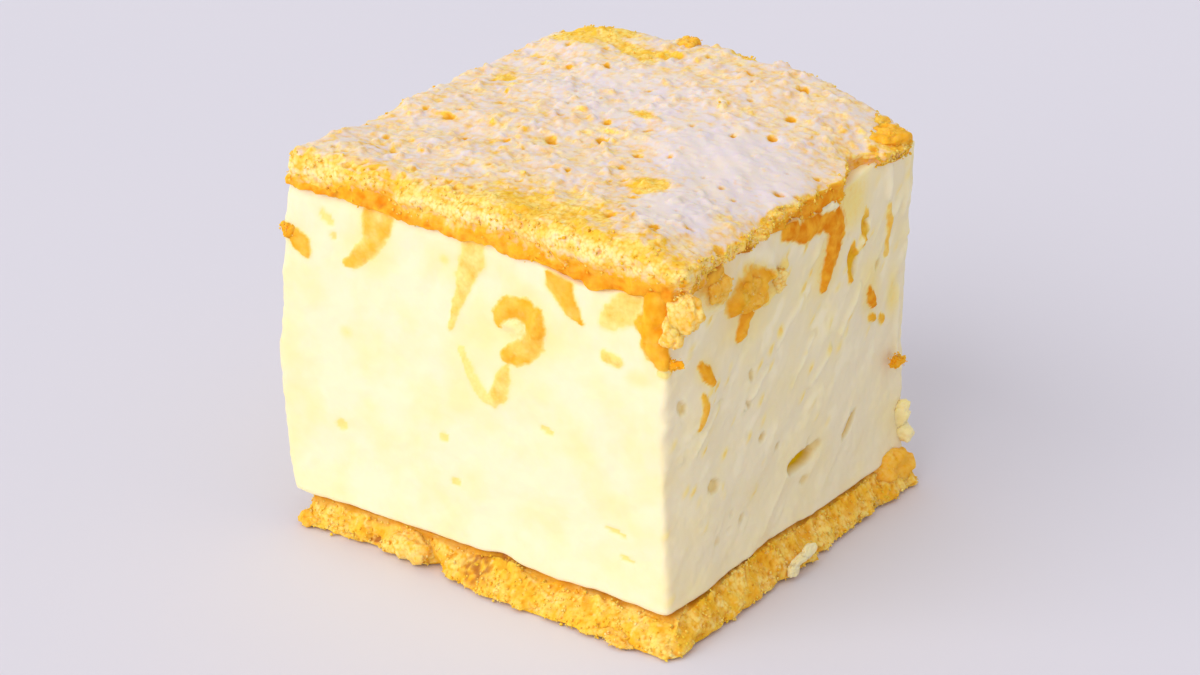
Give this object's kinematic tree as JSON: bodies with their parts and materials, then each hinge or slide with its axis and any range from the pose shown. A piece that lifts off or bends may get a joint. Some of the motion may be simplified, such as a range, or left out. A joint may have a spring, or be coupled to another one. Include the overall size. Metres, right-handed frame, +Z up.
{
  "type": "custard cream slice",
  "caption": "Square slice of custard cream cake: a thick block of whipped custard cream between two thin sheets of sponge, the upper one dusted with icing sugar.",
  "frame": {"origin": "middle of the flat underside of the lower sponge sheet, on the surface that the slice stands on", "axes": "+Z up, +X along the wide cut face, which looks along -Y, towards the side cut face"},
  "size_m": [0.0777, 0.0759, 0.0656],
  "materials": {
    "sponge": "torn yellow sponge crumb, dry and open",
    "custard_cream": "smooth whipped custard cream, soft sheen",
    "sugared_sponge": "baked sponge skin under icing sugar, dry"
  },
  "bodies": {
    "root": {"base_sponge": "sponge", "cream_filling": "custard_cream", "top_sponge": "sugared_sponge"}
  },
  "joints": []
}
